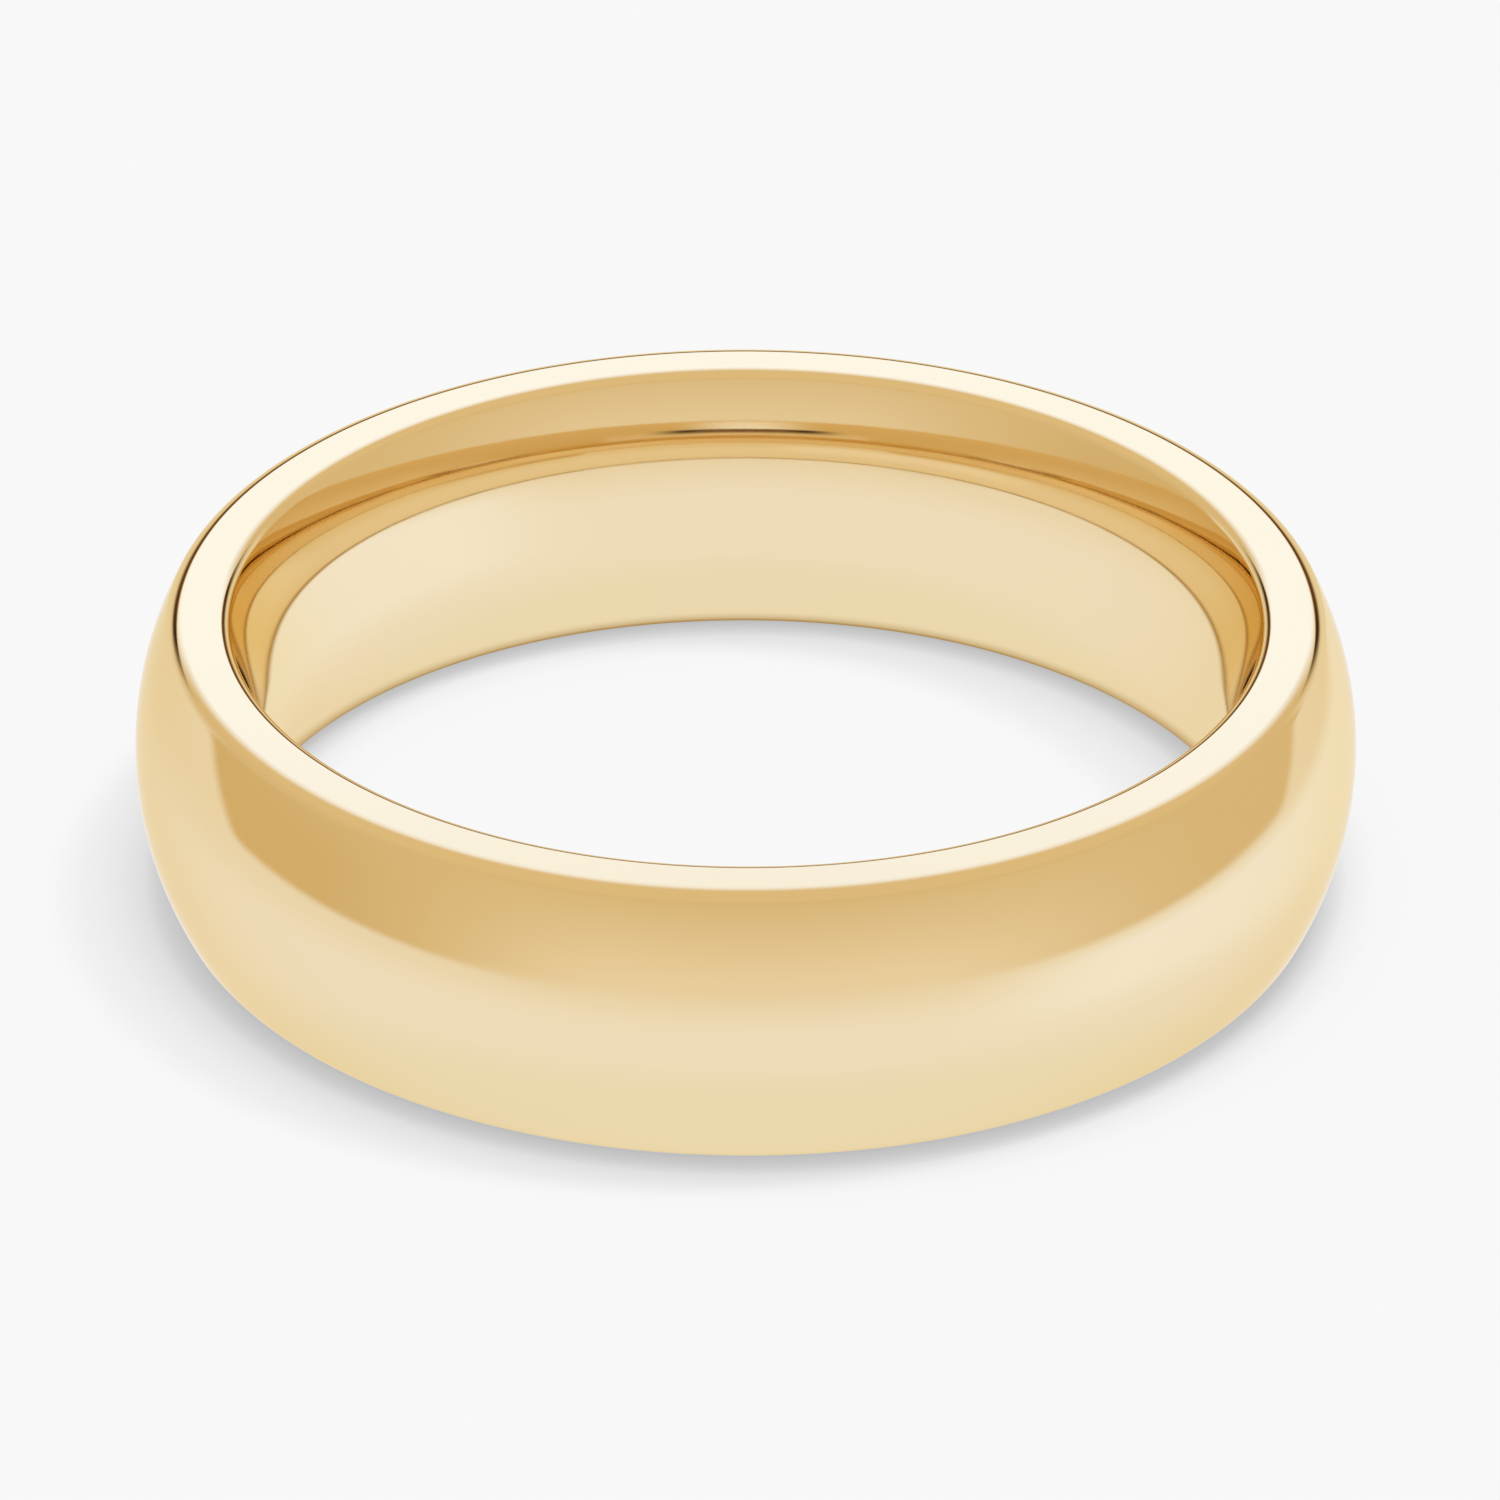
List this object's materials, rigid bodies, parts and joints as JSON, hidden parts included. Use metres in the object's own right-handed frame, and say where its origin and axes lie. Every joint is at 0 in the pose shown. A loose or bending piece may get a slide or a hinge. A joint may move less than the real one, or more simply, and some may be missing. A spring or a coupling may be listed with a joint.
{
  "type": "wedding band",
  "caption": "Plain wedding band: one polished gold ring with a domed outside, narrow flat rims and a rounded comfort-fit inside.",
  "frame": {"origin": "centre of the finger hole, halfway across the width of the band", "axes": "+Z along the finger, square to the two flat rims; the band is round about Z, so X and Y are free, and -Y faces the viewer"},
  "size_m": [0.0248, 0.0248, 0.006],
  "materials": {
    "gold": null
  },
  "bodies": {
    "root": {"band": "gold"}
  },
  "joints": []
}
